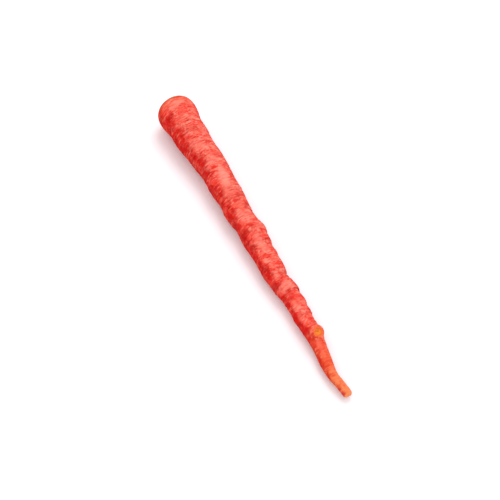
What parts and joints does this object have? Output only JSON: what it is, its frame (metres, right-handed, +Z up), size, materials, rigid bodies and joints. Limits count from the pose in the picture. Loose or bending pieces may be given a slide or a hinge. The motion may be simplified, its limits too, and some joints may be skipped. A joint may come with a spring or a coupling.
{
  "type": "carrot",
  "caption": "Long, slender red carrot lying on its side: leaves trimmed flush, wrinkled skin, a snapped side root and a thin bent tail.",
  "frame": {"origin": "middle of the bounding box, on the surface that the carrot rests on", "axes": "+X along the root from the crown to the tail, +Z up"},
  "size_m": [0.3, 0.0326, 0.0313],
  "materials": {
    "carrot_skin": "satin"
  },
  "bodies": {
    "root": {"carrot_root": "carrot_skin"}
  },
  "joints": []
}
